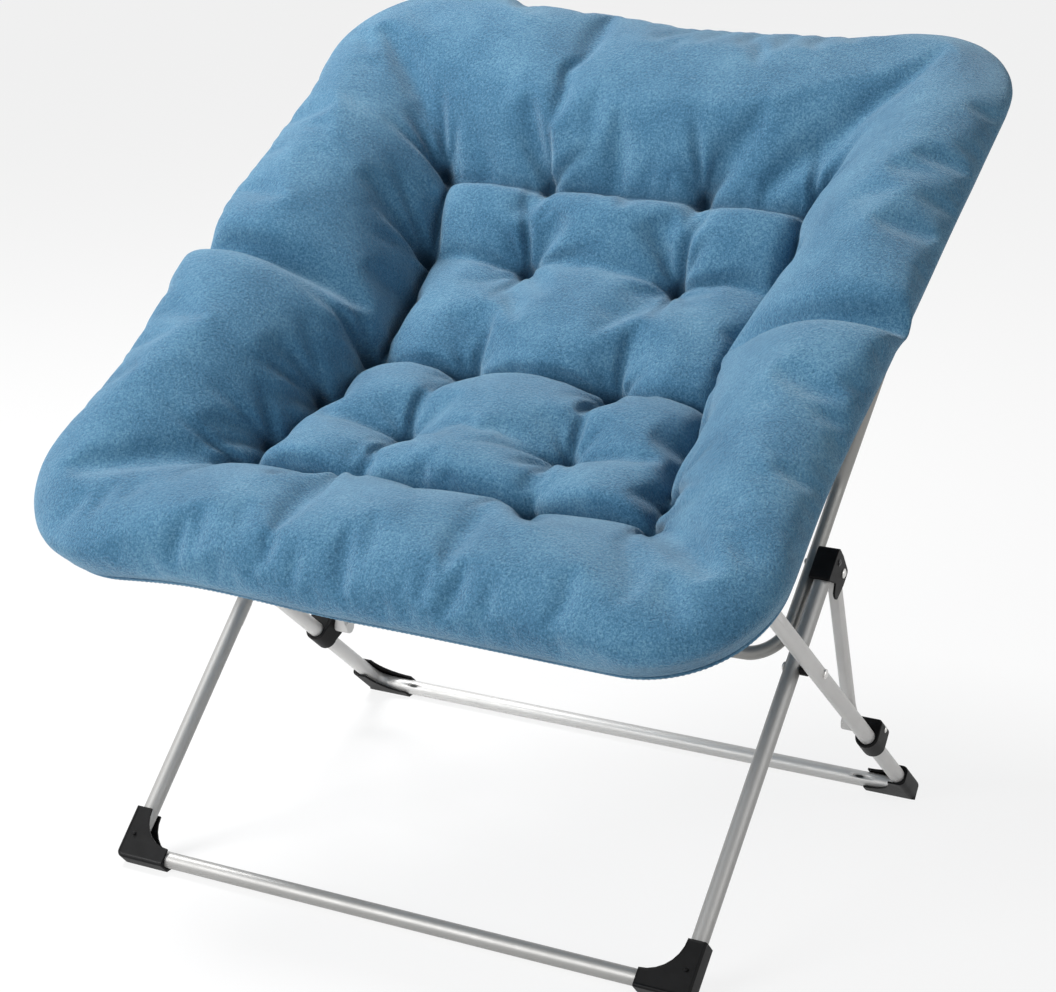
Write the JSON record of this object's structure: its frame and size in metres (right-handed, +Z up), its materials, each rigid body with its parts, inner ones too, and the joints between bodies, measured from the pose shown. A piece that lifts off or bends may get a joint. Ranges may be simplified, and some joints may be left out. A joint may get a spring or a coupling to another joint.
{
  "type": "folding armchair",
  "caption": "Folding lounge chair with crossed bent-tube legs, a hinged tilted rim in two halves and a tufted plush bucket cover with fat rolled edges.",
  "frame": {"origin": "on the floor under the middle of the chair's bounding box", "axes": "+X to the right seen from the front, +Y towards the back, +Z up"},
  "size_m": [0.858, 0.826, 0.8926],
  "materials": {
    "painted_steel": "satin silver-grey paint on bent steel tube",
    "black_plastic": "moulded, with a light satin sheen",
    "rivet_steel": "bright plated",
    "blue_plush": "short-pile plush over soft filling"
  },
  "bodies": {
    "front_frame": {"front_leg": "painted_steel", "front_cap_left": "black_plastic", "front_cap_right": "black_plastic", "front_cap_pin_left": "black_plastic", "front_cap_pin_right": "black_plastic", "under_seat_hoop": "painted_steel", "hoop_strap_left": "painted_steel", "hoop_strap_right": "painted_steel", "hoop_rivet_left": "rivet_steel", "hoop_rivet_right": "rivet_steel", "upper_bracket_left": "black_plastic", "upper_bracket_right": "black_plastic", "leg_rivet_left": "rivet_steel", "leg_rivet_right": "rivet_steel", "strut_rivet_left": "rivet_steel", "strut_rivet_right": "rivet_steel", "pivot_nut_left": "rivet_steel", "pivot_nut_right": "rivet_steel", "leg_catch_left": "rivet_steel", "leg_catch_right": "rivet_steel", "rim_fork_left": "black_plastic", "rim_fork_right": "black_plastic", "rim_rivet_left": "rivet_steel", "rim_rivet_right": "rivet_steel", "back_rim_tube": "painted_steel", "back_hem_sleeve": "blue_plush", "back_cushion": "blue_plush"},
    "rear_frame": {"rear_leg": "painted_steel", "rear_cap_left": "black_plastic", "rear_cap_right": "black_plastic", "rear_cap_pin_left": "black_plastic", "rear_cap_pin_right": "black_plastic", "pivot_spacer_left": "black_plastic", "pivot_spacer_right": "black_plastic", "pivot_rivet_left": "rivet_steel", "pivot_rivet_right": "rivet_steel", "seat_peg_left": "black_plastic", "seat_peg_right": "black_plastic"},
    "seat_frame": {"seat_rim_tube": "painted_steel", "seat_hem_sleeve": "blue_plush", "rim_tongue_left": "black_plastic", "rim_tongue_right": "black_plastic", "seat_cushion": "blue_plush"},
    "strut_left": {"strut_left": "painted_steel"},
    "strut_right": {"strut_right": "painted_steel"},
    "collar_left": {"slide_collar_left": "black_plastic", "collar_rivet_left": "rivet_steel"},
    "collar_right": {"slide_collar_right": "black_plastic", "collar_rivet_right": "rivet_steel"}
  },
  "joints": [
    {"name": "leg_fold", "type": "hinge", "parent": "front_frame", "child": "rear_frame", "pos_m": [0, -0.05918, 0.26873], "axis": [-1, 0, 0], "range_deg": [0, 92]},
    {"name": "seat_fold", "type": "hinge", "parent": "front_frame", "child": "seat_frame", "pos_m": [0, -0.01499, 0.626], "axis": [-1, 0, 0], "range_deg": [0, 140.1], "deforming": ["seat_cushion", "back_cushion"]},
    {"name": "strut_left_swing", "type": "hinge", "parent": "front_frame", "child": "strut_left", "pos_m": [-0.343, 0.0515, 0.34406], "axis": [-1, 0, 0], "range_deg": [0, 66]},
    {"name": "strut_right_swing", "type": "hinge", "parent": "front_frame", "child": "strut_right", "pos_m": [0.343, 0.0515, 0.34406], "axis": [-1, 0, 0], "range_deg": [0, 66]},
    {"name": "collar_left_slide", "type": "slide", "parent": "rear_frame", "child": "collar_left", "axis": [0, -0.7738, 0.6334], "range_m": [0, 0.138]},
    {"name": "collar_right_slide", "type": "slide", "parent": "rear_frame", "child": "collar_right", "axis": [0, -0.7738, 0.6334], "range_m": [0, 0.138]}
  ],
  "couplings": [
    {"joint": "seat_fold", "follows": "leg_fold", "ratio": 1.5217},
    {"joint": "strut_left_swing", "follows": "leg_fold", "ratio": 0.71705},
    {"joint": "strut_right_swing", "follows": "leg_fold", "ratio": 0.71705},
    {"joint": "collar_left_slide", "follows": "leg_fold", "m_per_rad": 0.08581},
    {"joint": "collar_right_slide", "follows": "leg_fold", "m_per_rad": 0.08581}
  ]
}
